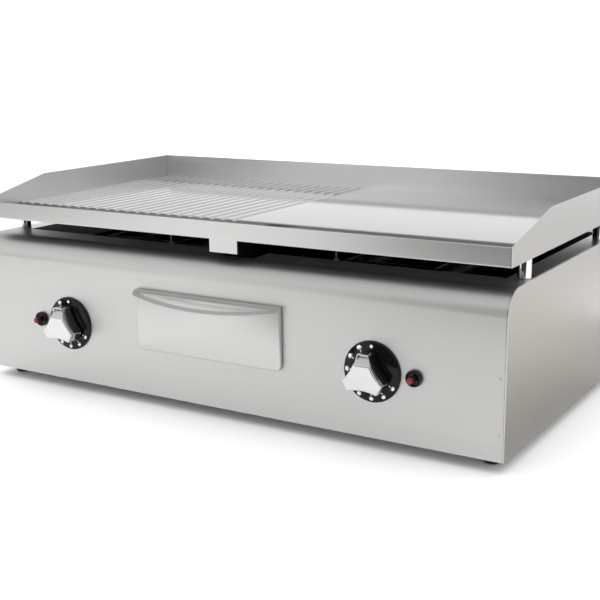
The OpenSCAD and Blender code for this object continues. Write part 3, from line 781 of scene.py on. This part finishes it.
# the inlet's thread: crests one pitch apart, and the root halfway between them
crest = np.arange(THREAD_Y0, THREAD_Y1, THREAD_PITCH)
turns = np.sort(np.r_[crest, crest + THREAD_PITCH / 2])
thread = np.stack([np.tile([CREST_R, ROOT_R], len(crest)), turns], -1)
profile = [(BORE_R, INLET_Y0), (NECK_R, INLET_Y0), (NECK_R, NECK_Y)] + thread.tolist()
profile += [(ROOT_R, 243.0), (8.9, INLET_Y1), (BORE_R, INLET_Y1), (BORE_R, INLET_Y0)]
hexagon = arc((0, 0), 15, 0, 300, 6) + (INLET_X, INLET_Z)
nuts = [slab(hexagon, "xz", y0, y1) for y0, y1 in ((INLET_Y0, 204), (REAR, 220))]
piece(
    "threaded_gas_inlet", *joined([turned(profile, (INLET_X, 0, INLET_Z), "y", 72)] + nuts),
    BRASS, "casing", ["gas_inlet"], "brass", smooth=20,
)

SCREW_PROFILE = [
    (0, 0), (4, 0), (4, 0.7), (3.4, 1.5), (2.2, 2.0), (1.0, 2.2), (0.9, 1.4), (0, 1.4),
]
heads = [
    turned(SCREW_PROFILE, (sx * REAR_SCREW_X, REAR, z), "y", 40)
    for sx in (-1, 1)
    for z in REAR_SCREW_Z
]
piece(
    "rear_screw_heads", *joined(heads), FASTENER, "casing", ["rear_panel_screws"],
    "zinc_fasteners", smooth=40,
)
RIVET_PROFILE = [(0, 0), (2, 0), (1.7, 0.25), (1, 0.37), (0, 0.4)]
heads = [
    turned(RIVET_PROFILE, (sx * RIVET_X, FRONT, z), "-y", 32) for sx in (-1, 1) for z in RIVET_Z
]
piece(
    "casing_rivets", *joined(heads), FASTENER, "casing", ["front_rivets"], "zinc_fasteners",
    smooth=40,
)

# ---------------------------------------------------------------- finishes of the CAD pieces
# the grease spout takes the flat black of painted shade
FINISH = {
    "base_pan": ZINC, "heat_shield": ENAMEL, "grease_spout": UNDERSIDE_PAINTED_SHADE, "post_bolts": FASTENER,
    "drawer_tray": STEEL_Y, "gas_manifold": PIPE, "foot_screws": FASTENER,
}
for side in ("left", "right"):
    FINISH |= {
        f"drawer_runner_{side}": ZINC, f"spindle_{side}": BRASS, f"valve_plug_{side}": BRASS,
        f"valve_{side}": BRASS, f"supply_tube_{side}": ALUMINIUM, f"injector_{side}": BRASS,
        f"burner_{side}": BURNER, f"burner_bracket_{side}": BURNER,
        f"thermocouple_{side}": COPPER, f"electrode_{side}": CERAMIC,
    }
for name, material in FINISH.items():
    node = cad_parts[name]
    node.data.materials.clear()
    node.data.materials.append(material)


# ---------------------------------------------------------------- floor, light and camera
def flat_card(name, centre, across, up, colour):
    """A plain matt card given by its middle and two half sides."""
    c, a, b = (np.asarray(v, float) for v in (centre, across, up))
    mesh = bpy.data.meshes.new(name)
    corners = [tuple(c - a - b), tuple(c + a - b), tuple(c + a + b), tuple(c - a + b)]
    mesh.from_pydata(corners, [], [(0, 1, 2, 3)])
    obj = bpy.data.objects.new(name, mesh)
    bpy.context.scene.collection.objects.link(obj)
    obj.data.materials.append(start(f"matt_{name}", colour, 0.0, 0.9)[0])
    return obj


flat_card("studio_floor", (0, 0, -0.0005), (12, 0, 0), (0, 12, 0), "F4F4F4")
# flags that only the metal mirrors, the darker sides of the studio: middle, half width,
# half height or depth, colour
for name, centre, across, up, colour in (
    ("front_flag", (0.65, -1.6, 0.4), (1.15, 0, 0), (0, 0, 0.4), "4A4A4A"),
    ("front_mat", (0.55, -1.25, 0.001), (0.85, 0, 0), (0, 0.35, 0), "1E1E1E"),
    ("left_flag", (-2.15, -1.9, 0.25), (0.6, 0, 0), (0, 0, 0.25), "3A3A3A"),
    ("left_mat", (-2.05, -1.4, 0.001), (0.55, 0, 0), (0, 0.5, 0), "2A2A2A"),
    ("side_near", (0.49, 0.1, 0.001), (0.08, 0, 0), (0, 0.45, 0), "ABA5A0"),
    ("side_mid", (0.84, 0.35, 0.001), (0.26, 0, 0), (0, 0.7, 0), "BFBAB5"),
    ("side_far", (1.2, 1.75, 0.001), (0.7, 0, 0), (0, 0.7, 0), "B8B8B8"),
    ("back_flag", (0, 0.2165, 0.2915), (0.4, 0, 0), (0, 0, 0.008), "C4C4C4"),
):
    card = flat_card(name, centre, across, up, colour)
    card.visible_camera = False
    card.visible_diffuse = False
    card.visible_shadow = False

world = bpy.data.worlds.new("studio")
world.use_nodes = True
sky = world.node_tree
# brightest round the horizon, and a little over half as bright overhead
way = add(sky, "ShaderNodeTexCoord")
height = add(sky, "ShaderNodeSeparateXYZ", None, {"Vector": way.outputs["Generated"]})
level = add(
    sky,
    "ShaderNodeMapRange",
    {"From Min": 0.12, "From Max": 0.85, "To Min": 1.3, "To Max": 0.75},
    {"Value": height.outputs["Z"]},
)
sky.links.new(level.outputs["Result"], sky.nodes["Background"].inputs["Strength"])
sky.nodes["Background"].inputs["Color"].default_value = linear("FFFFFF")
bpy.context.scene.world = world
bpy.context.scene.view_settings.view_transform = "Standard"

lamp = bpy.data.lights.new("overhead", "SUN")
lamp.energy = 2.5
lamp.angle = math.radians(120)
overhead = bpy.data.objects.new("overhead", lamp)
bpy.context.scene.collection.objects.link(overhead)
overhead.rotation_euler = (math.radians(-12), math.radians(-12), 0)
overhead.visible_glossy = False

# the camera's turn in radians, its lens and sensor in millimetres, its place in metres
yaw, pitch, roll = 0.556567, 0.230901, -0.014602
LENS, SENSOR = 65.2644, 36
EYE = (0.80579, -1.28819, 0.46870)
right = Vector((math.cos(yaw), math.sin(yaw), 0))
ahead = Vector(
    (-math.sin(yaw) * math.cos(pitch), math.cos(yaw) * math.cos(pitch), -math.sin(pitch))
)
up = right.cross(ahead)
right, up = (
    math.cos(roll) * right + math.sin(roll) * up,
    -math.sin(roll) * right + math.cos(roll) * up,
)
camera = bpy.data.cameras.new("camera")
camera.sensor_width = SENSOR
camera.lens = LENS
camera.clip_end = 50
eye = bpy.data.objects.new("camera", camera)
bpy.context.scene.collection.objects.link(eye)
turn = Matrix((right, up, -ahead)).transposed()
eye.matrix_world = Matrix.Translation(EYE) @ turn.to_4x4()
bpy.context.scene.camera = eye
